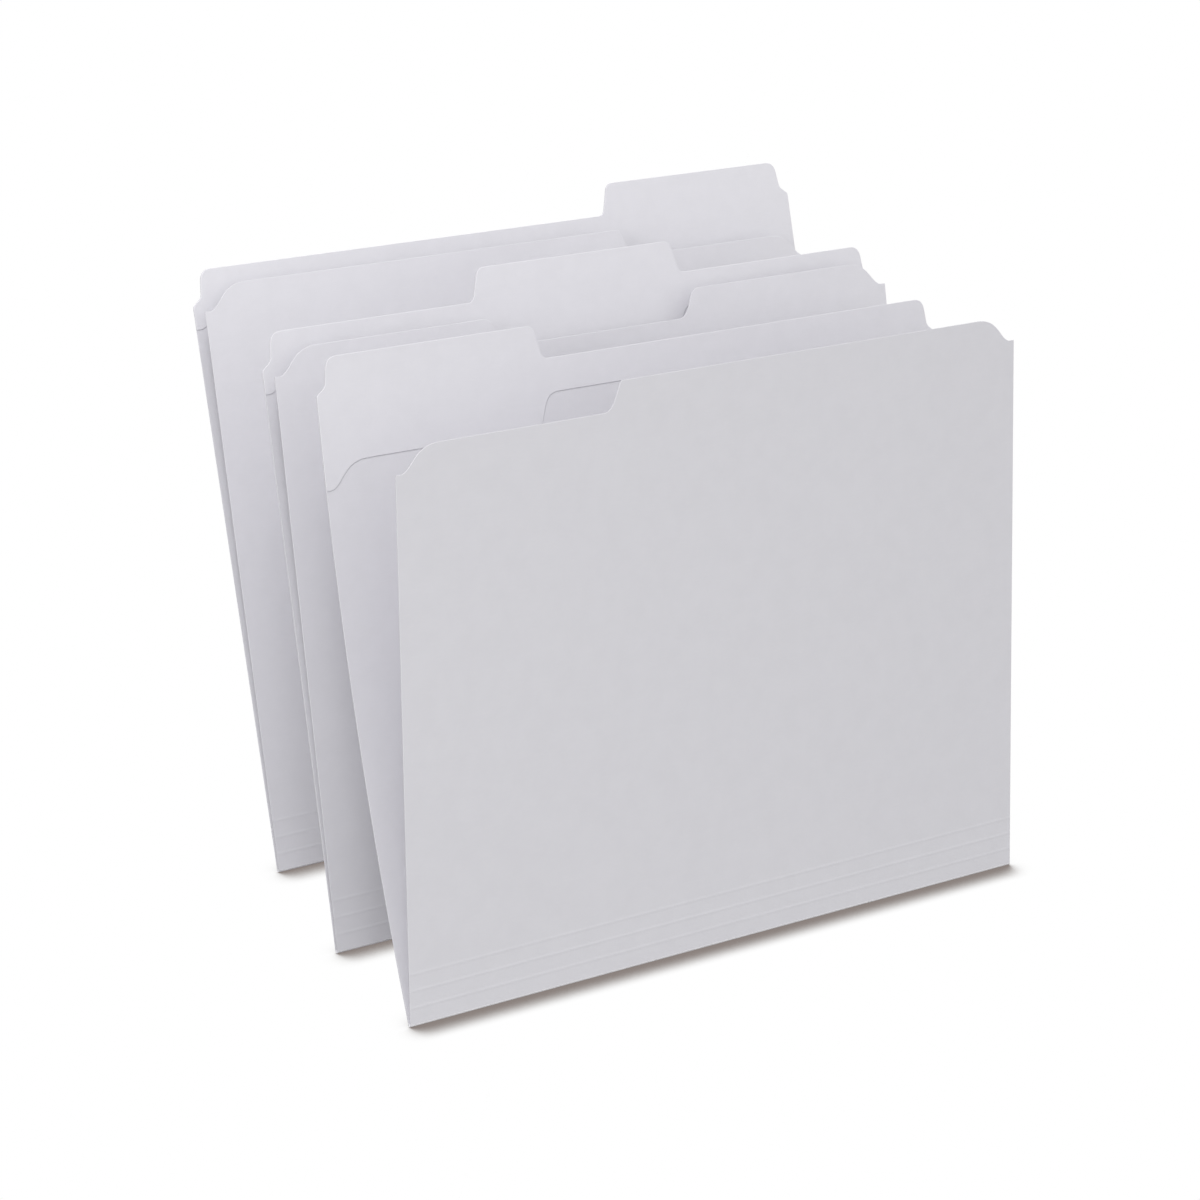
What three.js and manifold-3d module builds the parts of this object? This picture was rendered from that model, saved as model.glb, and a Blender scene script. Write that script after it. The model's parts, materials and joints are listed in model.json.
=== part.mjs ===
// Three letter-size file folders with reinforced tabs, standing on their folds one behind the other.
// Millimetres, +Z up, folds along X. The origin is the centre of the footprint, on the standing surface.
import * as THREE from 'three';
import { mergeVertices } from 'three/addons/utils/BufferGeometryUtils.js';
import Module from 'manifold-3d';

const wasm = await Module();
wasm.setup();

// Paperboard
const stock = 0.28;            // thickness of the board, about 11 point
const creaseGap = 0.3;         // open line left at each score
const glueGap = 0.15;          // between the back panel and the ply glued to it

// Panels
const width = 298.45;          // 11 3/4 in along the fold
const backHeight = 228.6;      // fold to the back panel's main edge, 9 in
const tabRise = 12.7;          // tab above the main edge, 1/2 in
const coverSetback = 6.35;     // the cover's main edge stands this much lower, 1/4 in
const undercutDrop = 11.1;     // how much lower the cover is in front of the tab
const scorePitch = 6.35;       // score lines every 1/4 in above the fold
const scoreCount = 3;
const plyReach = 12.7;         // from the main edge down to the ply's free edge, 1/2 in
const plyTabDrop = 12.5;       // how much lower the ply reaches below the tab
const coverHeight = backHeight - coverSetback;
const plyHeight = backHeight - plyReach;

// Fold
const foldRadius = 0.5;        // fold line to the middle of the board
const foldSteps = 10;
const coverStart = 0.75;       // fold line to the front flap's lower edge, clear of the fold as it swings
const backStart = 0.3;         // fold line to the back panel's lower edge, which never swings on the fold

// Corners of a die-cut top edge, measured in from the side and down from the edge
const easedCorner = { shoulder: 12.5, ledge: 4, drop: 9.55, crown: 6.5, foot: 3.5 };
const tabCorner = { shoulder: 5.4, ledge: 4, drop: 13.5, crown: 4.5, foot: 1.6, footRise: 2.9, toe: 0.8 };
const tabSide = { slant: 3.7, flare: 0.5, crown: 3, foot: 2.5 };
const undercutSide = { slant: 5, foot: 4 };
const plyStep = { inset: 3, slant: 4.5, foot: 0.6, crown: 5 };
const cornerSteps = 5;

const sharpCrown = 0.8;
const roundCrown = 3;

// Tabs, where they meet the main edge
const leftTabWidth = 101.5;
const centreTabWidth = 100;
const centreTabShift = -0.7;   // off the middle of the panel
const rightTabWidth = 98;

// Bend of the open front folder's back panel
const bow = 5;                 // at mid-height, off the straight line from the fold to the main edge
const bowSteps = 12;

// The row: how far each fold stands behind and to the right of the front one
const middleSetback = 53;
const middleShift = 4.8;
const rearSetback = 111;
const rearShift = 18.1;

// Each folder: its place, how far its flaps lean back in degrees, and its tab
const folders = [
  {
    name: 'front', foldX: 0, foldY: 0, backLean: 27, coverLean: 15.5, backBow: bow,
    tabFrom: 0, tabWidth: leftTabWidth, undercutCrown: sharpCrown,
  },
  {
    name: 'middle', foldX: middleShift, foldY: middleSetback, backLean: 24.9, coverLean: 23.1, backBow: 0,
    tabFrom: (width - centreTabWidth) / 2 + centreTabShift, tabWidth: centreTabWidth, undercutCrown: roundCrown,
  },
  {
    name: 'rear', foldX: rearShift, foldY: rearSetback, backLean: 27.1, coverLean: 25.3, backBow: 0,
    tabFrom: width - rightTabWidth, tabWidth: rightTabWidth, undercutCrown: sharpCrown,
  },
];

// Finish
const boardColour = 0xd9d8dc;
const boardRoughness = 0.85;

// A closed outline through corners [x, y, radius], each corner rounded by a curve of that reach
function outline(corners) {
  const shape = new THREE.Shape();
  const count = corners.length;
  corners.forEach(([x, y, reach = 0], i) => {
    const corner = new THREE.Vector2(x, y);
    const before = new THREE.Vector2(...corners[(i + count - 1) % count]).sub(corner);
    const after = new THREE.Vector2(...corners[(i + 1) % count]).sub(corner);
    const enter = corner.clone().addScaledVector(before.clone().normalize(), Math.min(reach, before.length() / 2));
    const leave = corner.clone().addScaledVector(after.clone().normalize(), Math.min(reach, after.length() / 2));
    if (i === 0) shape.moveTo(enter.x, enter.y);
    else shape.lineTo(enter.x, enter.y);
    if (reach > 0) shape.quadraticCurveTo(x, y, leave.x, leave.y);
  });
  shape.closePath();
  return shape;
}

function toSolid(geometry) {
  const bare = geometry.clone();
  bare.deleteAttribute('normal');
  bare.deleteAttribute('uv');
  const merged = mergeVertices(bare);
  return new wasm.Manifold(new wasm.Mesh({
    numProp: 3,
    vertProperties: merged.attributes.position.array,
    triVerts: new Uint32Array(merged.index.array),
  }));
}

function toGeometry(solid) {
  const mesh = solid.getMesh();
  const geometry = new THREE.BufferGeometry();
  geometry.setAttribute('position', new THREE.BufferAttribute(mesh.vertProperties, 3));
  geometry.setIndex(new THREE.BufferAttribute(mesh.triVerts, 1));
  geometry.computeVertexNormals();
  return geometry;
}

// Where the middle of the board lies behind the panel's own plane, at a height above the fold.
// The panel is an even bend up to its main edge and runs on straight through the tab.
function bowAt(height, depth) {
  const share = height / backHeight;
  return share < 1 ? 4 * depth * share * (1 - share) : -4 * depth * (share - 1);
}

// The board as a band across the whole width, bent as the panel is: its section runs up the panel
function band(from, to, offset, bend) {
  const heights = [from];
  if (bend !== 0) {
    for (let i = 1; i < bowSteps; i += 1) heights.push((backHeight * i) / bowSteps);
    heights.push(backHeight);
  }
  heights.push(to);
  const inRange = heights.filter((height) => height >= from && height <= to);
  const middle = inRange.map((height) => [offset + bowAt(height, bend), height]);
  const section = new THREE.Shape([
    ...middle.map(([y, z]) => new THREE.Vector2(y - stock / 2, z)),
    ...middle.reverse().map(([y, z]) => new THREE.Vector2(y + stock / 2, z)),
  ]);
  const overhang = 1;
  const geometry = new THREE.ExtrudeGeometry(section, { depth: width + 2 * overhang, bevelEnabled: false });
  geometry.rotateY(Math.PI / 2);
  geometry.rotateX(Math.PI / 2);
  return geometry.translate(-overhang, 0, 0);
}

// A die: the outline, drawn as width against height, made deep enough to cut any bend of the board
function die(shape) {
  const depth = 60;
  const geometry = new THREE.ExtrudeGeometry(shape, { depth, bevelEnabled: false, curveSegments: cornerSteps });
  geometry.rotateX(Math.PI / 2);
  return geometry.translate(0, depth / 2, 0);
}

// One region of board, cut to an outline: X along the fold, Z up the panel, Y towards the back
function sheet(corners, offset, bend = 0) {
  const shape = outline(corners);
  const heights = corners.map((corner) => corner[1]);
  const margin = 0.5;
  const blank = band(Math.min(...heights) - margin, Math.max(...heights) + margin, offset, bend);
  return toGeometry(toSolid(blank).intersect(toSolid(die(shape))));
}

// Right-hand end of a top edge, from the edge down to the side; the left-hand end is its mirror
function easedEnd(height) {
  const { shoulder, ledge, drop, crown, foot } = easedCorner;
  return [[shoulder, height, crown], [ledge, height - drop, foot], [0, height - drop, 0]];
}

function tabEnd(height) {
  const { shoulder, ledge, drop, crown, foot, footRise, toe } = tabCorner;
  return [[shoulder, height, crown], [ledge, height - drop + footRise, foot], [0, height - drop, toe]];
}

const mirrored = (corners) => corners.map(([x, y, reach]) => [width - x, y, reach]);
const reversed = (corners) => [...corners].reverse();

// The top edge of the back panel, from the right side to the left, with the tab where it stands
function backTop({ tabFrom, tabWidth }) {
  const tabTo = tabFrom + tabWidth;
  const tabTop = backHeight + tabRise;
  const { slant, flare, crown, foot } = tabSide;
  const atRight = tabTo > width - 1;
  const atLeft = tabFrom < 1;
  const corners = mirrored(reversed(tabEnd(atRight ? tabTop : backHeight)));
  if (!atRight) corners.push([tabTo + flare, backHeight, foot], [tabTo + flare - slant, tabTop, crown]);
  if (!atLeft) corners.push([tabFrom - flare + slant, tabTop, crown], [tabFrom - flare, backHeight, foot]);
  return [...corners, ...tabEnd(atLeft ? tabTop : backHeight)];
}

// A free edge that drops in front of the tab, from the right side to the left
function steppedEdge({ tabFrom, tabWidth }, height, drop, side) {
  const tabTo = tabFrom + tabWidth;
  const atRight = tabTo > width - 1;
  const atLeft = tabFrom < 1;
  const low = height - drop;
  const corners = mirrored(reversed(easedEnd(atRight ? low : height)));
  if (!atRight) corners.push([tabTo - side.inset + side.slant, height, side.high], [tabTo - side.inset, low, side.low]);
  if (!atLeft) corners.push([tabFrom + side.inset, low, side.low], [tabFrom + side.inset - side.slant, height, side.high]);
  return [...corners, ...easedEnd(atLeft ? low : height)];
}

function backPanel(folder) {
  return sheet([[0, backStart], [width, backStart], ...backTop(folder)], foldRadius, folder.backBow);
}

function tabPly(folder) {
  const side = { inset: plyStep.inset, slant: plyStep.slant, low: plyStep.foot, high: plyStep.crown };
  const freeEdge = reversed(steppedEdge(folder, plyHeight, plyTabDrop, side));
  return sheet([...freeEdge, ...backTop(folder)], foldRadius - stock - glueGap, folder.backBow);
}

function cover(folder) {
  const side = {
    inset: undercutSide.slant, slant: undercutSide.slant, low: undercutSide.foot, high: folder.undercutCrown,
  };
  const bottom = scoreCount * scorePitch + creaseGap / 2;
  return sheet([[0, bottom], [width, bottom], ...steppedEdge(folder, coverHeight, undercutDrop, side)], -foldRadius);
}

function scoreStrip(index) {
  const from = index === 0 ? coverStart : index * scorePitch + creaseGap / 2;
  const to = (index + 1) * scorePitch - creaseGap / 2;
  return sheet([[0, from], [width, from], [width, to], [0, to]], -foldRadius);
}

// The rolled bend that joins the two flaps: half a tube, open upwards
function fold() {
  const arc = (radius, reverse) => {
    const points = [];
    for (let i = 0; i <= foldSteps; i += 1) {
      const angle = Math.PI + (Math.PI * (reverse ? foldSteps - i : i)) / foldSteps;
      points.push(new THREE.Vector2(radius * Math.cos(angle), radius * Math.sin(angle)));
    }
    return points;
  };
  const section = new THREE.Shape([...arc(foldRadius + stock / 2, false), ...arc(foldRadius - stock / 2, true)]);
  const geometry = new THREE.ExtrudeGeometry(section, { depth: width, bevelEnabled: false });
  geometry.rotateY(Math.PI / 2);
  geometry.rotateX(Math.PI / 2);
  return geometry;
}

function board(name, geometry) {
  const material = new THREE.MeshStandardMaterial({ color: boardColour, roughness: boardRoughness, metalness: 0 });
  const mesh = new THREE.Mesh(geometry, material);
  mesh.name = name;
  return mesh;
}

// One folder: the back panel, ply and fold share one leaning group, and the front flap has its own
function folderGroup(folder) {
  const group = new THREE.Group();
  group.position.set(folder.foldX, folder.foldY, foldRadius + stock / 2);
  const back = new THREE.Group();
  back.rotation.x = -THREE.MathUtils.degToRad(folder.backLean);
  back.add(board(`${folder.name}_back_panel`, backPanel(folder)));
  back.add(board(`${folder.name}_tab_ply`, tabPly(folder)));
  back.add(board(`${folder.name}_fold`, fold()));
  const front = new THREE.Group();
  front.rotation.x = -THREE.MathUtils.degToRad(folder.coverLean);
  for (let i = 0; i < scoreCount; i += 1) {
    front.add(board(`${folder.name}_score_strip_${i + 1}`, scoreStrip(i)));
  }
  front.add(board(`${folder.name}_cover`, cover(folder)));
  group.add(back, front);
  return group;
}

const row = new THREE.Group();
folders.forEach((folder) => row.add(folderGroup(folder)));

// The origin goes to the centre of the row's footprint, level with the lowest fold
row.updateMatrixWorld(true);
const extent = new THREE.Box3().setFromObject(row, true);
const centre = extent.getCenter(new THREE.Vector3());
row.position.set(-centre.x, -centre.y, -extent.min.z);

export default row;
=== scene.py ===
import json
import math

import bpy
from mathutils import Matrix, Vector
from mathutils.geometry import delaunay_2d_cdt


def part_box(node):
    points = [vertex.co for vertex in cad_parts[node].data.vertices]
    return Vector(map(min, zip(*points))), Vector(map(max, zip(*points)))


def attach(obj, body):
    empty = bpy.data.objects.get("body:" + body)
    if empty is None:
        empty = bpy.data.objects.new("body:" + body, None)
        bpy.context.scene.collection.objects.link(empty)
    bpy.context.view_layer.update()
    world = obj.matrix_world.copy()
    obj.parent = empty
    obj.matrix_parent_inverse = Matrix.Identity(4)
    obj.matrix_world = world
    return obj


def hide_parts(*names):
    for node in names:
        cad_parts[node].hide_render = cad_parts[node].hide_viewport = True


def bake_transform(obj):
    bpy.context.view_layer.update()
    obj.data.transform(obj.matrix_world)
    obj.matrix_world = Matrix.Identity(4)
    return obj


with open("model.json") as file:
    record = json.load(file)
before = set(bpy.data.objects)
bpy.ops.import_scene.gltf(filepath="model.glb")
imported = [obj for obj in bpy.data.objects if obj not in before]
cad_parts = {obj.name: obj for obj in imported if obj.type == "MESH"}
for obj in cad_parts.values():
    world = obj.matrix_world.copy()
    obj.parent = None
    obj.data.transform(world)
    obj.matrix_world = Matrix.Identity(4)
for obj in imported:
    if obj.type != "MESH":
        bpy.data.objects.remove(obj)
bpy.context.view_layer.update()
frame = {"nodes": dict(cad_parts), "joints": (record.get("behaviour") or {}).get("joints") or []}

mm = 0.001
print("frame loaded:", len(frame["nodes"]), "nodes")

# Three letter-size folders, each cut from one sheet of 11-point board. Lengths of the folders are in
# millimetres, the same as in the solids.
board = {
    "width": 298.45,
    "thickness": 0.28,
    "foldRadius": 0.5,         # fold line to the middle of the board
    "rimWidth": 0.1,           # how far in the cutting rule has crushed the edge
    "rimDepth": 0.045,         # and how deep, on each side
    "waveSize": 120.0,         # across one of the sheet's slight waves
    "waveFullFrom": 0.8,       # share of the height from which the waves are full; none at the fold
    "sharpAngle": 20.0,        # degrees; a wider turn than this shows as an edge
    "weld": 0.002,
}
folders = {
    "front": {"backLean": 27.0, "coverLean": 15.5, "bow": 5.0, "tab": (0.0, 101.5),
              "undercutCrown": 0.8, "seed": 3.0},
    "middle": {"backLean": 24.9, "coverLean": 23.1, "bow": 0.0, "tab": (98.525, 198.525),
               "undercutCrown": 3.0, "seed": 11.0},
    "rear": {"backLean": 27.1, "coverLean": 25.3, "bow": 0.0, "tab": (200.45, 298.45),
             "undercutCrown": 0.8, "seed": 23.0},
}


def linearColour(hexText):
    # sRGB hex to the linear values that the shader sockets take
    channels = [int(hexText[i:i + 2], 16) / 255 for i in (1, 3, 5)]
    linear = [c / 12.92 if c <= 0.04045 else ((c + 0.055) / 1.055) ** 2.4 for c in channels]
    return (*linear, 1.0)


def addNode(tree, kind, settings=None, **links):
    # One node. Settings are its properties. Links are its inputs, by name or as in_0, in_1 and so on;
    # each is a value, a socket, or a node, which stands for its first output.
    node = tree.nodes.new(kind)
    for name, value in (settings or {}).items():
        setattr(node, name, value)
    for name, value in links.items():
        key = name.replace("_", " ")
        socket = node.inputs[int(key[3:])] if key.startswith("in ") else node.inputs[key]
        if isinstance(value, bpy.types.Node):
            value = value.outputs[0]
        if isinstance(value, bpy.types.NodeSocket):
            tree.links.new(value, socket)
        else:
            socket.default_value = value
    return node


def linked(name, data):
    thing = bpy.data.objects.new(name, data)
    bpy.context.scene.collection.objects.link(thing)
    return thing


def newMaterial(name):
    material = bpy.data.materials.new(name)
    material.use_nodes = True
    material.node_tree.nodes.clear()
    return material, material.node_tree


boardStock = {
    "outside": {"light": "#e3e2e7", "dark": "#e1e0e5", "fibre": "#e7e6ea"},
    # the inside tones: partly the board's greyer wire side, partly painted shade for the inside of the fold
    "inside": {"light": "#dfdee3", "dark": "#dddce1", "fibre": "#e3e2e6"},
    "mottleMm": 9.0,           # cloudiness of the pulp
    "mottleRange": (0.35, 0.65),
    "fibreMm": 0.9,            # real fibres are 0.03 mm wide; drawn coarse enough to show
    "fibreLengthMm": 5.0,
    "fibreRange": (0.5, 0.72),
    "fibreShare": 0.22,
    "toothMm": 0.5,            # the paper's tooth, drawn coarse
    "toothDepthMm": 0.012,
    "toothStrength": 0.35,
    "roughness": 0.78,
}
paperIor = 1.48                # cellulose
# Die-cut edge: torn fibre ends in layers. Its colour is greyer than the faces as painted shade, which
# holds down the lamps' highlight on the rim and gives the eye a fine line.
cutEdge = {"light": "#c8c7cb", "dark": "#bcbbc0", "grainMm": 0.35, "grainDetail": 2.0,
           "grainRoughness": 0.5, "reliefMm": 0.02, "reliefStrength": 0.4, "roughness": 0.95}
# Board rolled over a crease, painted paler: a painted highlight for the light thrown up from the floor
# onto the fold, with a grain that gives the eye a flaky line.
creaseHighlight = {"light": "#f4f3f6", "dark": "#eae9ed", "grainMm": 1.6, "grainDetail": 5.0,
                "grainRoughness": 0.7, "reliefMm": 0.03, "reliefStrength": 0.5, "roughness": 0.88}
footHighlight = {"from": 1.2, "fullAt": 0.9}    # heights over the table between which the board is painted paler, a painted highlight along its foot


def paperboardMaterial(name, tones):
    # Uncoated grey paperboard, calendered: long fibres lie flat in a cloudy pulp. It gives the eye a
    # dead-matt, almost even grey with a faint cloud and tooth. The side that lay on the wire when the
    # board was made, the folder's inside, takes a slightly darker copy of the stock: partly the board's
    # greyer wire side, partly painted shade for the inside of the fold.
    material, tree = newMaterial(name)
    place = addNode(tree, "ShaderNodeTexCoord").outputs["Object"]
    mottle = addNode(tree, "ShaderNodeTexNoise", Vector=place,
                     Scale=1 / (boardStock["mottleMm"] * mm), Detail=4.0, Roughness=0.6)
    thin, thick = boardStock["mottleRange"]
    clouds = addNode(tree, "ShaderNodeMapRange", Value=mottle, From_Min=thin, From_Max=thick)
    stock = addNode(tree, "ShaderNodeMix", {"data_type": "RGBA"}, in_0=clouds,
                    in_6=linearColour(tones["dark"]), in_7=linearColour(tones["light"]))
    alongFold = addNode(tree, "ShaderNodeMapping", Vector=place,
                        Scale=(boardStock["fibreMm"] / boardStock["fibreLengthMm"], 1.0, 1.0))
    fibre = addNode(tree, "ShaderNodeTexNoise", Vector=alongFold, Scale=1 / (boardStock["fibreMm"] * mm),
                    Detail=3.0, Roughness=0.7, Distortion=0.6)
    thin, thick = boardStock["fibreRange"]
    strands = addNode(tree, "ShaderNodeMapRange", Value=fibre, From_Min=thin, From_Max=thick,
                      To_Max=boardStock["fibreShare"])
    fibred = addNode(tree, "ShaderNodeMix", {"data_type": "RGBA"}, in_0=strands,
                     in_6=stock.outputs[2], in_7=linearColour(tones["fibre"]))
    # painted highlight: a fine pale line along the foot beside the fold, for the light thrown up from the
    # floor
    height = addNode(tree, "ShaderNodeSeparateXYZ", Vector=place)
    footHighlightShare = addNode(tree, "ShaderNodeMapRange", Value=height.outputs["Z"],
                       From_Min=footHighlight["from"] * mm, From_Max=footHighlight["fullAt"] * mm)
    footHighlighted = addNode(tree, "ShaderNodeMix", {"data_type": "RGBA"}, in_0=footHighlightShare,
                        in_6=fibred.outputs[2], in_7=linearColour(creaseHighlight["light"]))
    tooth = addNode(tree, "ShaderNodeTexNoise", Vector=place, Scale=1 / (boardStock["toothMm"] * mm),
                    Detail=2.0, Roughness=0.55)
    relief = addNode(tree, "ShaderNodeBump", Height=tooth, Strength=boardStock["toothStrength"],
                     Distance=boardStock["toothDepthMm"] * mm)
    surface = addNode(tree, "ShaderNodeBsdfPrincipled", Base_Color=footHighlighted.outputs[2], Normal=relief,
                      Roughness=boardStock["roughness"], IOR=paperIor)
    addNode(tree, "ShaderNodeOutputMaterial", Surface=surface)
    return material


def openFibreMaterial(name, stock):
    # board whose fibres have been opened, by a cutting rule or a crease, in its stock's tones: painted
    # shade on the cut edge, a painted highlight on the crease
    material, tree = newMaterial(name)
    place = addNode(tree, "ShaderNodeTexCoord").outputs["Object"]
    grain = addNode(tree, "ShaderNodeTexNoise", Vector=place, Scale=1 / (stock["grainMm"] * mm),
                    Detail=stock["grainDetail"], Roughness=stock["grainRoughness"])
    colour = addNode(tree, "ShaderNodeMix", {"data_type": "RGBA"}, in_0=grain,
                     in_6=linearColour(stock["dark"]), in_7=linearColour(stock["light"]))
    relief = addNode(tree, "ShaderNodeBump", Height=grain, Strength=stock["reliefStrength"],
                     Distance=stock["reliefMm"] * mm)
    surface = addNode(tree, "ShaderNodeBsdfPrincipled", Base_Color=colour.outputs[2], Normal=relief,
                      Roughness=stock["roughness"], IOR=paperIor)
    addNode(tree, "ShaderNodeOutputMaterial", Surface=surface)
    return material


outsideMaterial = paperboardMaterial("uncoatedPaperboard", boardStock["outside"])
insideMaterial = paperboardMaterial("uncoatedPaperboardInside", boardStock["inside"])
edgeMaterial = openFibreMaterial("dieCutBoardEdge", cutEdge)
foldHighlightMaterial = openFibreMaterial("creasedPaperboardHighlight", creaseHighlight)
print("materials made")


# Corners of the die. Each is (u along the fold, v up the panel, reach of its rounding).
cornerCut = {
    "eased": {"shoulder": 12.5, "ledge": 4.0, "drop": 9.55, "crown": 6.5, "foot": 3.5},
    "tab": {"shoulder": 5.4, "ledge": 4.0, "drop": 13.5, "crown": 4.5, "foot": 1.6, "footRise": 2.9,
            "toe": 0.8},
    "tabSide": {"slant": 3.7, "flare": 0.5, "crown": 3.0, "foot": 2.5},
    "atSide": 1.0,             # a tab this near to a side takes in its corner
}


def roundedOutline(corners):
    # each corner becomes a quadratic curve of its own reach
    points = []
    count = len(corners)
    steps = sheetMesh["curveSteps"]
    for i, (u, v, reach) in enumerate(corners):
        corner = Vector((u, v))
        toBefore = Vector(corners[i - 1][:2]) - corner
        toAfter = Vector(corners[(i + 1) % count][:2]) - corner
        if reach == 0:
            points.append(corner)
            continue
        enter = corner + toBefore.normalized() * min(reach, toBefore.length / 2)
        leave = corner + toAfter.normalized() * min(reach, toAfter.length / 2)
        for k in range(steps + 1):
            t = k / steps
            points.append(enter * (1 - t) ** 2 + corner * 2 * t * (1 - t) + leave * t ** 2)
    return points


def easedEnd(height):
    cut = cornerCut["eased"]
    return [(cut["shoulder"], height, cut["crown"]), (cut["ledge"], height - cut["drop"], cut["foot"]),
            (0, height - cut["drop"], 0)]


def tabEnd(height):
    cut = cornerCut["tab"]
    return [(cut["shoulder"], height, cut["crown"]),
            (cut["ledge"], height - cut["drop"] + cut["footRise"], cut["foot"]),
            (0, height - cut["drop"], cut["toe"])]


def mirrored(corners):
    return [(board["width"] - u, v, reach) for u, v, reach in reversed(corners)]


def tabSpan(folder):
    # where the tab starts and ends, and whether it stands at the left or the right side
    start, end = folder["tab"]
    return start, end, start < cornerCut["atSide"], end > board["width"] - cornerCut["atSide"]


def backTop(folder):
    # from the right side to the left, with the tab where it stands
    start, end, atLeft, atRight = tabSpan(folder)
    edge = backBoard["height"]
    top = edge + backBoard["tabRise"]
    side = cornerCut["tabSide"]
    corners = mirrored(tabEnd(top if atRight else edge))
    if not atRight:
        corners += [(end + side["flare"], edge, side["foot"]),
                    (end + side["flare"] - side["slant"], top, side["crown"])]
    if not atLeft:
        corners += [(start - side["flare"] + side["slant"], top, side["crown"]),
                    (start - side["flare"], edge, side["foot"])]
    return corners + tabEnd(top if atLeft else edge)


def steppedEdge(folder, height, drop, side, crown):
    # an edge that runs lower in front of the tab, from the right side to the left
    start, end, atLeft, atRight = tabSpan(folder)
    low = height - drop
    inset, slant, foot = side["inset"], side["slant"], side["foot"]
    corners = mirrored(easedEnd(low if atRight else height))
    if not atRight:
        corners += [(end - inset + slant, height, crown), (end - inset, low, foot)]
    if not atLeft:
        corners += [(start + inset, low, foot), (start + inset - slant, height, crown)]
    return corners + easedEnd(low if atLeft else height)


sheetMesh = {
    "curveSteps": 8,           # segments of each rounded corner
    "gridStep": 7.0,           # spacing of the points that carry the board's bends
    "clearOfRow": 1 / 3,       # in grid steps: a row this near to a given one is left out
    "clearOfRim": 0.12,        # in grid steps: a point this near to the rim is left out
    "clearOfCorner": 0.05,     # a grid line this near to the rim's corners doesn't cut it
    "foot": 0.001,             # rim points up to this height are the foot, which runs on into the fold
    "tolerance": 1e-5,
}


def insideOutline(point, outline):
    inside = False
    for i, p in enumerate(outline):
        q = outline[i - 1]
        if (p.y > point.y) != (q.y > point.y):
            if point.x < (q.x - p.x) * (point.y - p.y) / (q.y - p.y) + p.x:
                inside = not inside
    return inside


def rimPoints(outline, columns, levels):
    # the outline, cut wherever it crosses the grid
    margin = sheetMesh["clearOfCorner"]
    rim = []
    for i, p in enumerate(outline):
        q = outline[(i + 1) % len(outline)]
        rim.append(p)
        along = q - p
        upright = abs(along.y) > abs(along.x)
        stops = levels if upright else columns
        a, b = (p.y, q.y) if upright else (p.x, q.x)
        cuts = [(s - a) / (b - a) for s in stops if min(a, b) + margin < s < max(a, b) - margin]
        rim += [p + along * t for t in sorted(cuts)]
    return rim


def flatSheet(name, corners, rows, rimWidth):
    # A flat triangulated sheet in the XZ plane, facing +Y, with points on a grid so that it can bend.
    # Rows are heights that it needs points at.
    outline = roundedOutline(corners)
    step = sheetMesh["gridStep"]
    lowest = min(p.y for p in outline)
    highest = max(p.y for p in outline)
    levels = sorted(set(rows + [lowest + step * i for i in range(1, int((highest - lowest) / step) + 1)]))
    apart = sheetMesh["clearOfRow"] * step
    levels = [v for v in levels if v in rows or all(abs(v - r) > apart for r in rows)]
    across = round(board["width"] / step)
    columns = [board["width"] * i / across for i in range(1, across)]
    rim = rimPoints(outline, columns, levels)
    clear = sheetMesh["clearOfRim"] * step
    grid = [Vector((u, v)) for v in levels for u in columns]
    inside = [g for g in grid if insideOutline(g, outline) and all((p - g).length > clear for p in rim)]
    # a second ring just inside the rim keeps the crushed edge apart from the flat of the board
    count = len(rim)
    ring = []
    for i, p in enumerate(rim):
        along = (rim[(i + 1) % count] - p).normalized() + (p - rim[i - 1]).normalized()
        ring.append(p + Vector((-along.y, along.x)).normalized() * rimWidth)
    border = [(i, (i + 1) % count) for i in range(count)]
    border += [(count + i, count + j) for i, j in border]
    verts, _, faces = delaunay_2d_cdt(rim + ring + inside, border, [], 1, sheetMesh["tolerance"], False)[:3]
    middles = [sum((verts[i] for i in f), Vector((0, 0))) / len(f) for f in faces]
    faces = [list(reversed(f)) for f, m in zip(faces, middles) if insideOutline(m, outline)]
    mesh = bpy.data.meshes.new(name)
    mesh.from_pydata([(p.x * mm, 0, p.y * mm) for p in verts], [], faces)
    mesh.update()
    # all of the rim is crushed but the foot
    crushed = mesh.attributes.new("crushed", "FLOAT", "POINT")
    for i, p in enumerate(verts[:count]):
        crushed.data[i].value = 1.0 if p.y > sheetMesh["foot"] else 0.0
    return linked(name, mesh)


def newTree(name, inputs):
    # inputs are (name, socket kind, default)
    tree = bpy.data.node_groups.new(name, "GeometryNodeTree")
    tree.interface.new_socket("Geometry", in_out="INPUT", socket_type="NodeSocketGeometry")
    for label, kind, value in inputs:
        socket = tree.interface.new_socket(label, in_out="INPUT", socket_type=kind)
        if value is not None:
            socket.default_value = value
    tree.interface.new_socket("Geometry", in_out="OUTPUT", socket_type="NodeSocketGeometry")
    start = tree.nodes.new("NodeGroupInput")
    end = tree.nodes.new("NodeGroupOutput")
    return tree, start.outputs, end


def thickenBoard(tree, geometry, offset, crush=(0, 0, 0)):
    # a second skin one board away, crushed along the rim, with marked walls between the two
    skin = addNode(tree, "GeometryNodeExtrudeMesh", {"mode": "FACES"}, Mesh=geometry, Offset=offset,
                   Offset_Scale=1.0, Individual=False)
    pinched = addNode(tree, "GeometryNodeSetPosition", Geometry=skin, Selection=skin.outputs["Top"],
                      Offset=crush)
    marked = pinched
    for label, faces in (("cutRim", "Side"), ("behind", "Top")):
        marked = addNode(tree, "GeometryNodeStoreNamedAttribute", {"data_type": "BOOLEAN", "domain": "FACE"},
                         Geometry=marked, Name=label, Value=skin.outputs[faces])
    flipped = addNode(tree, "GeometryNodeFlipFaces", Mesh=geometry)
    joined = addNode(tree, "GeometryNodeJoinGeometry")
    for part in (marked, flipped):
        tree.links.new(part.outputs[0], joined.inputs[0])
    return addNode(tree, "GeometryNodeMergeByDistance", Geometry=joined, Distance=board["weld"] * mm)


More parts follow.
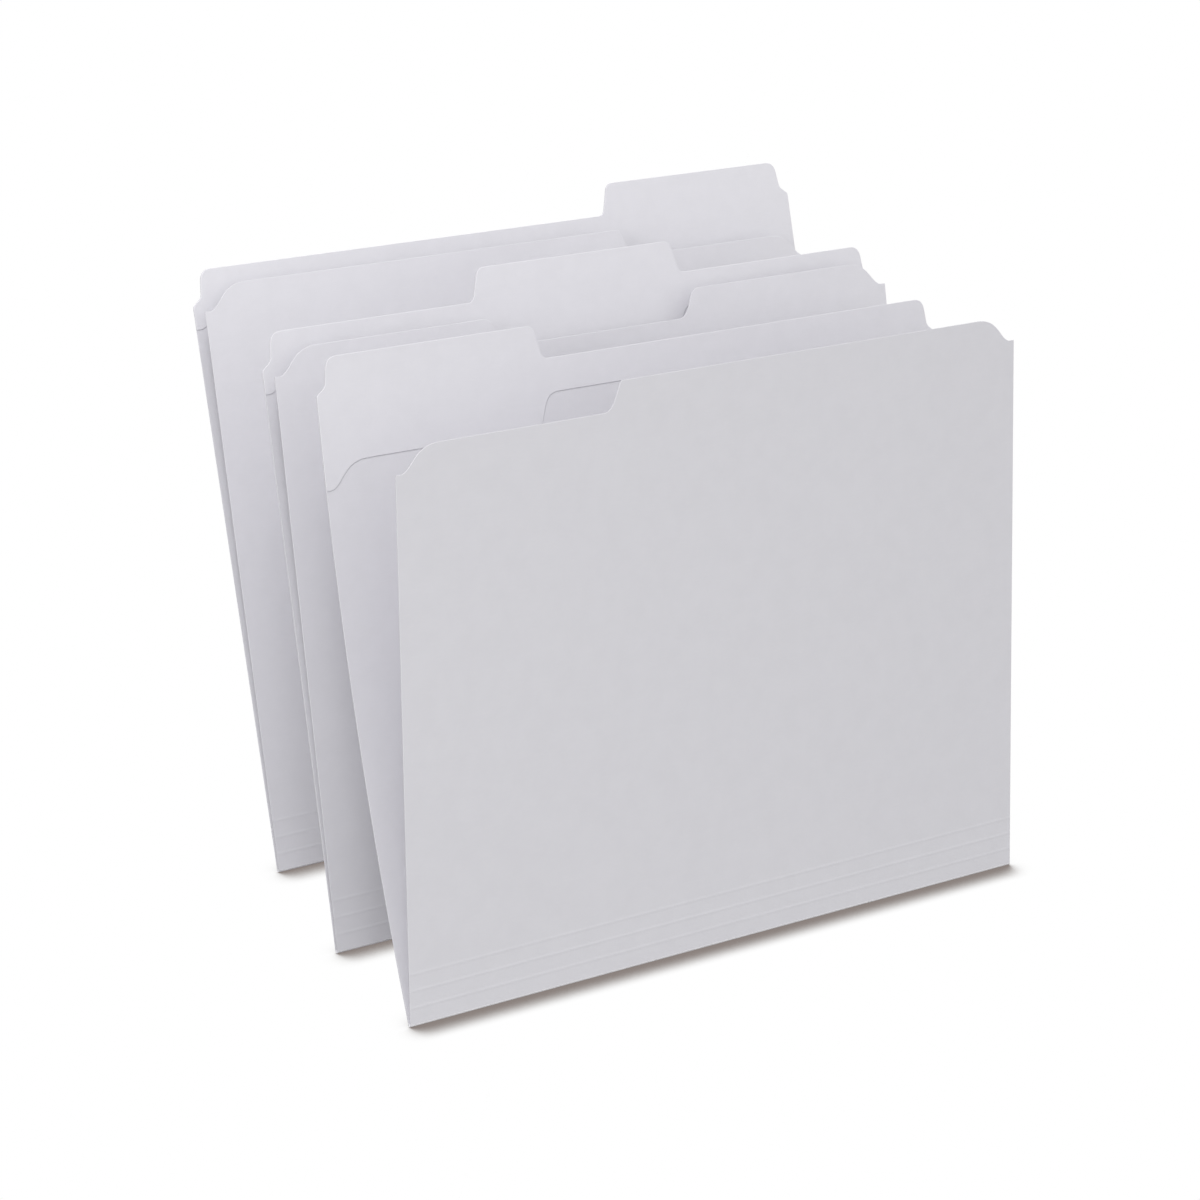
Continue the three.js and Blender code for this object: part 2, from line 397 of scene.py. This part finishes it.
def finishTree(tree, geometry, given, end):
    # smooth faces with sharp rims, then the finishes of both sides and of the rim
    smooth = addNode(tree, "GeometryNodeSetShadeSmooth", {"domain": "FACE"}, Geometry=geometry)
    angle = addNode(tree, "GeometryNodeInputMeshEdgeAngle")
    turned = addNode(tree, "ShaderNodeMath", {"operation": "GREATER_THAN"},
                     in_0=angle.outputs["Unsigned Angle"], in_1=math.radians(board["sharpAngle"]))
    sharp = addNode(tree, "GeometryNodeSetShadeSmooth", {"domain": "EDGE"}, Geometry=smooth,
                    Selection=turned, Shade_Smooth=False)
    real = addNode(tree, "GeometryNodeRealizeInstances", Geometry=sharp)
    finished = addNode(tree, "GeometryNodeSetMaterial", Geometry=real, Material=given["Board"])
    for label, finish in (("behind", "Behind"), ("cutRim", "Rim")):
        marked = addNode(tree, "GeometryNodeInputNamedAttribute", {"data_type": "BOOLEAN"}, Name=label)
        finished = addNode(tree, "GeometryNodeSetMaterial", Geometry=finished,
                           Selection=marked.outputs["Attribute"], Material=given[finish])
    tree.links.new(finished.outputs[0], end.inputs[0])


def pressedBoardTree():
    # A flat sheet gets its pressed score lines, bow, slight waviness and thickness, then leans on its
    # fold line.
    tree, given, end = newTree("pressedBoard", [
        ("Score Pitch", "NodeSocketFloat", frontFlap["scorePitch"] * mm),
        ("Score Count", "NodeSocketFloat", 0.0),
        ("Bead Height", "NodeSocketFloat", 0.0),
        ("Bead Width", "NodeSocketFloat", frontFlap["beadWidth"] * mm),
        ("Bow", "NodeSocketFloat", 0.0),
        ("Bow Height", "NodeSocketFloat", backBoard["height"] * mm),
        ("Wave Height", "NodeSocketFloat", 0.0),
        ("Wave Size", "NodeSocketFloat", board["waveSize"] * mm),
        ("Seed", "NodeSocketFloat", 0.0),
        ("Distance", "NodeSocketFloat", 0.0),
        ("Rim Depth", "NodeSocketFloat", board["rimDepth"] * mm),
        ("Rim Depth Behind", "NodeSocketFloat", board["rimDepth"] * mm),
        ("Thickness", "NodeSocketFloat", board["thickness"] * mm),
        ("Lean", "NodeSocketVector", None),
        ("Fold Line", "NodeSocketVector", None),
        ("Board", "NodeSocketMaterial", None),
        ("Behind", "NodeSocketMaterial", None),
        ("Rim", "NodeSocketMaterial", None),
    ])
    where = addNode(tree, "GeometryNodeInputPosition")
    up = addNode(tree, "ShaderNodeSeparateXYZ", Vector=where).outputs["Z"]
    # beads: the distance to the nearest score line
    ratio = addNode(tree, "ShaderNodeMath", {"operation": "DIVIDE"}, in_0=up, in_1=given["Score Pitch"])
    nearest = addNode(tree, "ShaderNodeMath", {"operation": "ROUND"}, in_0=ratio)
    atMost = addNode(tree, "ShaderNodeMath", {"operation": "MINIMUM"}, in_0=nearest,
                     in_1=given["Score Count"])
    line = addNode(tree, "ShaderNodeMath", {"operation": "MAXIMUM"}, in_0=atMost, in_1=1.0)
    lineHeight = addNode(tree, "ShaderNodeMath", {"operation": "MULTIPLY"}, in_0=line,
                         in_1=given["Score Pitch"])
    offLine = addNode(tree, "ShaderNodeMath", {"operation": "SUBTRACT"}, in_0=up, in_1=lineHeight)
    away = addNode(tree, "ShaderNodeMath", {"operation": "ABSOLUTE"}, in_0=offLine)
    halfBead = addNode(tree, "ShaderNodeMath", {"operation": "MULTIPLY"}, in_0=given["Bead Width"],
                       in_1=0.5)
    bead = addNode(tree, "ShaderNodeMapRange", {"interpolation_type": "SMOOTHSTEP"}, Value=away,
                   From_Min=halfBead, From_Max=0.0, To_Min=0.0, To_Max=1.0)
    pressed = addNode(tree, "ShaderNodeMath", {"operation": "MULTIPLY"}, in_0=bead,
                      in_1=given["Bead Height"])
    # bow: an even bend up to the main edge, straight beyond it
    share = addNode(tree, "ShaderNodeMath", {"operation": "DIVIDE"}, in_0=up, in_1=given["Bow Height"])
    rest = addNode(tree, "ShaderNodeMath", {"operation": "SUBTRACT"}, in_0=1.0, in_1=share)
    fourfold = addNode(tree, "ShaderNodeMath", {"operation": "MULTIPLY"}, in_0=given["Bow"], in_1=4.0)
    slope = addNode(tree, "ShaderNodeMath", {"operation": "MULTIPLY"}, in_0=fourfold, in_1=rest)
    below = addNode(tree, "ShaderNodeMath", {"operation": "MINIMUM"}, in_0=share, in_1=1.0)
    bent = addNode(tree, "ShaderNodeMath", {"operation": "MULTIPLY"}, in_0=slope, in_1=below)
    # waviness: none at the fold, all of it near the top
    often = addNode(tree, "ShaderNodeMath", {"operation": "DIVIDE"}, in_0=1.0, in_1=given["Wave Size"])
    noise = addNode(tree, "ShaderNodeTexNoise", {"noise_dimensions": "4D"}, Vector=where,
                    W=given["Seed"], Scale=often, Detail=1.0)
    free = addNode(tree, "ShaderNodeMapRange", {"interpolation_type": "SMOOTHSTEP"}, Value=share,
                   From_Min=0.0, From_Max=board["waveFullFrom"])
    centred = addNode(tree, "ShaderNodeMath", {"operation": "SUBTRACT"}, in_0=noise, in_1=0.5)
    swing = addNode(tree, "ShaderNodeMath", {"operation": "MULTIPLY"}, in_0=centred, in_1=free)
    wave = addNode(tree, "ShaderNodeMath", {"operation": "MULTIPLY"}, in_0=swing,
                   in_1=given["Wave Height"])
    # from the fold line's plane to the sheet's near face
    curved = addNode(tree, "ShaderNodeMath", {"operation": "ADD"}, in_0=bent, in_1=wave)
    setBack = addNode(tree, "ShaderNodeMath", {"operation": "ADD"}, in_0=curved, in_1=given["Distance"])
    middle = addNode(tree, "ShaderNodeMath", {"operation": "SUBTRACT"}, in_0=setBack, in_1=pressed)
    halfWall = addNode(tree, "ShaderNodeMath", {"operation": "MULTIPLY"}, in_0=given["Thickness"],
                       in_1=0.5)
    nearFace = addNode(tree, "ShaderNodeMath", {"operation": "SUBTRACT"}, in_0=middle, in_1=halfWall)
    # the cutting rule has crushed the rim from both sides
    rim = addNode(tree, "GeometryNodeInputNamedAttribute", {"data_type": "FLOAT"},
                  Name="crushed").outputs["Attribute"]
    dent = addNode(tree, "ShaderNodeMath", {"operation": "MULTIPLY"}, in_0=rim, in_1=given["Rim Depth"])
    dented = addNode(tree, "ShaderNodeMath", {"operation": "ADD"}, in_0=nearFace, in_1=dent)
    push = addNode(tree, "ShaderNodeCombineXYZ", Y=dented)
    bothDepths = addNode(tree, "ShaderNodeMath", {"operation": "ADD"}, in_0=given["Rim Depth"],
                         in_1=given["Rim Depth Behind"])
    bothDents = addNode(tree, "ShaderNodeMath", {"operation": "MULTIPLY"}, in_0=rim, in_1=bothDepths)
    backwards = addNode(tree, "ShaderNodeMath", {"operation": "MULTIPLY"}, in_0=bothDents, in_1=-1.0)
    dentBehind = addNode(tree, "ShaderNodeCombineXYZ", Y=backwards)
    shaped = addNode(tree, "GeometryNodeSetPosition", Geometry=given["Geometry"], Offset=push)
    wall = addNode(tree, "ShaderNodeCombineXYZ", Y=given["Thickness"])
    solid = thickenBoard(tree, shaped.outputs[0], wall, dentBehind)
    turn = addNode(tree, "FunctionNodeEulerToRotation", in_0=given["Lean"])
    leaning = addNode(tree, "GeometryNodeTransform", Geometry=solid, Rotation=turn,
                      Translation=given["Fold Line"])
    finishTree(tree, leaning, given, end)
    return tree


def rolledFoldTree():
    # a strip rolled about the fold line, from the back panel's foot under and up to the cover's
    tree, given, end = newTree("rolledFold", [
        ("Length", "NodeSocketFloat", board["width"] * mm),
        ("Radius", "NodeSocketFloat", board["foldRadius"] * mm),
        ("Thickness", "NodeSocketFloat", board["thickness"] * mm),
        ("Back Angle", "NodeSocketFloat", 0.0),
        ("Cover Angle", "NodeSocketFloat", -math.pi),
        ("Fold Line", "NodeSocketVector", None),
        ("Board", "NodeSocketMaterial", None),
        ("Behind", "NodeSocketMaterial", None),
        ("Rim", "NodeSocketMaterial", None),
    ])
    strip = addNode(tree, "GeometryNodeMeshGrid", Size_X=given["Length"], Size_Y=1.0,
                    Vertices_X=rolledSpine["pointsAlong"], Vertices_Y=rolledSpine["pointsRound"])
    where = addNode(tree, "GeometryNodeInputPosition")
    split = addNode(tree, "ShaderNodeSeparateXYZ", Vector=where)
    angle = addNode(tree, "ShaderNodeMapRange", Value=split.outputs["Y"], From_Min=-0.5, From_Max=0.5,
                    To_Min=given["Back Angle"], To_Max=given["Cover Angle"])
    halfWall = addNode(tree, "ShaderNodeMath", {"operation": "MULTIPLY"}, in_0=given["Thickness"],
                       in_1=0.5)
    inner = addNode(tree, "ShaderNodeMath", {"operation": "SUBTRACT"}, in_0=given["Radius"],
                    in_1=halfWall)
    halfLength = addNode(tree, "ShaderNodeMath", {"operation": "MULTIPLY"}, in_0=given["Length"],
                         in_1=0.5)
    along = addNode(tree, "ShaderNodeMath", {"operation": "ADD"}, in_0=split.outputs["X"],
                    in_1=halfLength)
    cosine = addNode(tree, "ShaderNodeMath", {"operation": "COSINE"}, in_0=angle)
    sine = addNode(tree, "ShaderNodeMath", {"operation": "SINE"}, in_0=angle)
    outwards = addNode(tree, "ShaderNodeMath", {"operation": "MULTIPLY"}, in_0=cosine, in_1=inner)
    upwards = addNode(tree, "ShaderNodeMath", {"operation": "MULTIPLY"}, in_0=sine, in_1=inner)
    arc = addNode(tree, "ShaderNodeCombineXYZ", X=along, Y=outwards, Z=upwards)
    rolled = addNode(tree, "GeometryNodeSetPosition", Geometry=strip, Position=arc)
    across = addNode(tree, "ShaderNodeVectorMath", {"operation": "MULTIPLY"}, in_0=where,
                     in_1=(0, 1, 1))
    spoke = addNode(tree, "ShaderNodeVectorMath", {"operation": "NORMALIZE"}, in_0=across)
    wall = addNode(tree, "ShaderNodeVectorMath", {"operation": "SCALE"}, in_0=spoke,
                   Scale=given["Thickness"])
    solid = thickenBoard(tree, rolled.outputs[0], wall)
    placed = addNode(tree, "GeometryNodeTransform", Geometry=solid, Translation=given["Fold Line"])
    finishTree(tree, placed, given, end)
    return tree


def formed(blank, tree, name, values):
    # runs a tree on a blank and returns the plain mesh object that it makes
    modifier = blank.modifiers.new("form", "NODES")
    modifier.node_group = tree
    sockets = {s.name: s.identifier for s in tree.interface.items_tree if s.in_out == "INPUT"}
    for label, value in values.items():
        modifier[sockets[label]] = value
    bpy.context.view_layer.update()
    evaluated = blank.evaluated_get(bpy.context.evaluated_depsgraph_get())
    mesh = bpy.data.meshes.new_from_object(evaluated)
    for label in ("cutRim", "behind", "crushed"):
        if label in mesh.attributes:
            mesh.attributes.remove(mesh.attributes[label])
    if mesh.materials[0] is None:    # the blank's own, empty
        mesh.materials.pop(index=0)
    mesh.name = name
    bpy.data.objects.remove(blank)
    return linked(name, mesh)


backBoard = {
    "height": 228.6,           # fold line to the main edge
    "tabRise": 12.7,
    "waveHeight": 0.5,
}


def makeBack(name, folder, shared):
    corners = [(0, 0, 0), (board["width"], 0, 0)] + backTop(folder)
    blank = flatSheet("backBlank", corners, [0.0], board["rimWidth"])
    back = formed(blank, pressedBoard, f"{name}_back_board", {
        **shared, "Lean": leanOf(folder["backLean"]), "Distance": board["foldRadius"] * mm,
        "Bow": folder["bow"] * mm, "Wave Height": backBoard["waveHeight"] * mm,
        "Board": insideMaterial, "Behind": outsideMaterial})
    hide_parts(f"{name}_back_panel")
    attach(back, f"{name}_back")
    return back


reinforcement = {              # the top of the sheet, folded over and glued down inside the back
    "height": 215.9,           # fold line to its free edge
    "tabDrop": 12.5,           # it reaches this much lower below the tab
    "side": {"inset": 3.0, "slant": 4.5, "foot": 0.6, "crown": 5.0},
    "thickness": 0.2,          # pressed thinner when it is glued down
    "glueLine": 0.01,
    "rimWidth": 0.15,
    "rimDepth": 0.06,          # on the side that shows; none on the glued side
}


def makeReinforcement(name, folder, shared):
    side = reinforcement["side"]
    edge = steppedEdge(folder, reinforcement["height"], reinforcement["tabDrop"], side, side["crown"])
    corners = list(reversed(edge)) + backTop(folder)
    blank = flatSheet("plyBlank", corners, [], reinforcement["rimWidth"])
    distance = (board["foldRadius"] - board["thickness"] / 2 - reinforcement["glueLine"]
                - reinforcement["thickness"] / 2)
    ply = formed(blank, pressedBoard, f"{name}_tab_reinforcement", {
        **shared, "Lean": leanOf(folder["backLean"]), "Distance": distance * mm,
        "Bow": folder["bow"] * mm, "Wave Height": backBoard["waveHeight"] * mm,
        "Thickness": reinforcement["thickness"] * mm, "Rim Depth": reinforcement["rimDepth"] * mm,
        "Rim Depth Behind": 0.0, "Board": outsideMaterial, "Behind": insideMaterial})
    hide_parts(f"{name}_tab_ply")
    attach(ply, f"{name}_back")
    return ply


frontFlap = {
    "height": 222.25,          # fold line to the main edge
    "undercutDrop": 11.1,      # it is this much lower in front of the tab
    "side": {"inset": 5.0, "slant": 5.0, "foot": 4.0},
    "waveHeight": 0.4,
    "seedStep": 40,            # so that the flap's waves aren't the back's
    "scorePitch": 6.35,        # score lines above the fold, for a thicker filling
    "scoreCount": 3,
    "beadWidth": 1.8,
    "beadHeight": 0.046,
    "beadRows": (-0.62, -0.5, -0.33, -0.16, 0, 0.16, 0.33, 0.5, 0.62),    # in bead widths
}


def makeFlap(name, folder, shared):
    edge = steppedEdge(folder, frontFlap["height"], frontFlap["undercutDrop"], frontFlap["side"],
                       folder["undercutCrown"])
    corners = [(0, 0, 0), (board["width"], 0, 0)] + edge
    lines = range(1, frontFlap["scoreCount"] + 1)
    rows = [0.0] + [i * frontFlap["scorePitch"] + part * frontFlap["beadWidth"]
                    for i in lines for part in frontFlap["beadRows"]]
    blank = flatSheet("flapBlank", corners, rows, board["rimWidth"])
    flap = formed(blank, pressedBoard, f"{name}_flap", {
        **shared, "Lean": leanOf(folder["coverLean"]), "Distance": -board["foldRadius"] * mm,
        "Score Count": float(frontFlap["scoreCount"]), "Bead Height": frontFlap["beadHeight"] * mm,
        "Wave Height": frontFlap["waveHeight"] * mm, "Seed": folder["seed"] + frontFlap["seedStep"],
        "Board": outsideMaterial, "Behind": insideMaterial})
    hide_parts(f"{name}_cover", *[f"{name}_score_strip_{i}" for i in lines])
    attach(flap, f"{name}_cover")
    return flap


rolledSpine = {"pointsAlong": 41, "pointsRound": 17}


def makeSpine(name, folder, foldLine):
    backLean, coverLean = leanOf(folder["backLean"])[0], leanOf(folder["coverLean"])[0]
    blank = linked("foldBlank", bpy.data.meshes.new("foldBlank"))
    # the fold's outer face takes the crease's painted highlight
    spine = formed(blank, rolledFold, f"{name}_rolled_fold", {
        "Fold Line": foldLine, "Back Angle": backLean, "Cover Angle": coverLean - math.pi,
        "Board": insideMaterial, "Behind": foldHighlightMaterial, "Rim": edgeMaterial})
    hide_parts(f"{name}_fold")
    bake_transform(spine)
    return spine


def leanOf(degrees):
    return (-math.radians(degrees), 0, 0)


pressedBoard = pressedBoardTree()
rolledFold = rolledFoldTree()
print("trees built")

for folderName, folderValues in folders.items():
    foldJoint = next(j for j in frame["joints"] if j["name"] == f"{folderName}_cover_fold")
    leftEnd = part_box(f"{folderName}_fold")[0].x
    foldStart = Vector((leftEnd, foldJoint["pos_m"][1], foldJoint["pos_m"][2]))
    common = {"Thickness": board["thickness"] * mm, "Fold Line": foldStart, "Rim": edgeMaterial,
              "Seed": folderValues["seed"]}
    pieces = [make(folderName, folderValues, common) for make in (makeBack, makeReinforcement, makeFlap)]
    pieces.append(makeSpine(folderName, folderValues, foldStart))
    print(folderName, "folder made:", sum(len(p.data.polygons) for p in pieces), "faces")


studio = {                     # in metres and watts
    "floorSize": 12.0,
    "floorColour": "#9a9a9a",  # what it gives back to the object
    "shadowColour": "#8b827e",
    "shadowReach": 0.0105,     # how far a contact shadow spreads
    "shadowFrom": (0.0, 0.8, 0.6),
    "shadowFull": 0.45,        # the openness at which the shadow is darkest
    "shadowSamples": 16,
    "ambient": 0.76,
    "aim": (0, 0, 0.1),
    "overhead": {"place": (-0.9, -0.1, 2.0), "size": 0.9, "power": 21.0},
    "side": {"place": (-2.2, -0.6, 0.9), "size": 0.9, "power": 12.0},
}
white = (1, 1, 1, 1)


def seenPlain(tree):
    # 1 for the camera and for mirrored or refracted views, 0 for the light that reaches the object
    rays = addNode(tree, "ShaderNodeLightPath")
    mirror = addNode(tree, "ShaderNodeMath", {"operation": "MAXIMUM"},
                     in_0=rays.outputs["Is Glossy Ray"], in_1=rays.outputs["Is Transmission Ray"])
    return addNode(tree, "ShaderNodeMath", {"operation": "MAXIMUM"},
                   in_0=rays.outputs["Is Camera Ray"], in_1=mirror)


def makeFloor():
    # A white sweep. The camera sees it plain white, with a soft painted contact shadow, a dark line where
    # a folder stands on it.
    size = studio["floorSize"] / 2
    mesh = bpy.data.meshes.new("studioFloor")
    mesh.from_pydata([(-size, -size, 0), (size, -size, 0), (size, size, 0), (-size, size, 0)], [],
                     [(0, 1, 2, 3)])
    floor = linked("studioFloor", mesh)
    material, tree = newMaterial("paperSweep")
    behind = Vector(studio["shadowFrom"]).normalized()
    towards = addNode(tree, "ShaderNodeCombineXYZ", X=behind.x, Y=behind.y, Z=behind.z)
    contact = addNode(tree, "ShaderNodeAmbientOcclusion", {"samples": studio["shadowSamples"]},
                      Distance=studio["shadowReach"], Normal=towards)
    fade = addNode(tree, "ShaderNodeMapRange", {"interpolation_type": "SMOOTHSTEP"},
                   Value=contact.outputs["AO"], From_Min=studio["shadowFull"], From_Max=1.0)
    tone = addNode(tree, "ShaderNodeMix", {"data_type": "RGBA"}, in_0=fade,
                   in_6=linearColour(studio["shadowColour"]), in_7=white)
    shown = addNode(tree, "ShaderNodeEmission", Color=tone.outputs[2], Strength=1.0)
    lit = addNode(tree, "ShaderNodeBsdfDiffuse", Color=linearColour(studio["floorColour"]))
    mixed = addNode(tree, "ShaderNodeMixShader", in_0=seenPlain(tree), in_1=lit, in_2=shown)
    addNode(tree, "ShaderNodeOutputMaterial", Surface=mixed)
    mesh.materials.append(material)


def makeWorld():
    world = bpy.data.worlds.new("studioWorld")
    world.use_nodes = True
    tree = world.node_tree
    tree.nodes.clear()
    backdrop = addNode(tree, "ShaderNodeBackground", Color=white, Strength=1.0)
    ambient = addNode(tree, "ShaderNodeBackground", Color=white, Strength=studio["ambient"])
    mixed = addNode(tree, "ShaderNodeMixShader", in_0=seenPlain(tree), in_1=ambient, in_2=backdrop)
    addNode(tree, "ShaderNodeOutputWorld", Surface=mixed)
    bpy.context.scene.world = world


def makeLamp(name):
    values = studio[name]
    data = bpy.data.lights.new(name, "AREA")
    data.shape = "DISK"
    data.size = values["size"]
    data.energy = values["power"]
    lamp = linked(name, data)
    lamp.location = values["place"]
    aim = Vector(studio["aim"]) - Vector(values["place"])
    lamp.rotation_euler = aim.to_track_quat("-Z", "Y").to_euler()


photoView = {                  # solved from the panels' corners in the photograph
    "place": (-1.01389, -1.11375, 0.80562),
    "yaw": -42.26,
    "pitch": 25.39,
    "roll": -9.76,
    "lens": 128.425,
    "sensor": 36.0,
    "clipStart": 0.05,
}


def makeCamera():
    data = bpy.data.cameras.new("photoCamera")
    data.sensor_width = photoView["sensor"]
    data.lens = photoView["lens"]
    data.clip_start = photoView["clipStart"]
    camera = linked("photoCamera", data)
    turn = (Matrix.Rotation(math.radians(photoView["yaw"]), 4, "Z")
            @ Matrix.Rotation(-math.radians(photoView["pitch"]), 4, "X")
            @ Matrix.Rotation(math.radians(photoView["roll"]), 4, "Y")
            @ Matrix.Rotation(math.radians(90), 4, "X"))
    camera.matrix_world = Matrix.Translation(photoView["place"]) @ turn
    bpy.context.scene.camera = camera


makeFloor()
makeWorld()
makeLamp("overhead")
makeLamp("side")
makeCamera()
bpy.context.scene.view_settings.view_transform = "Standard"
print("studio made")
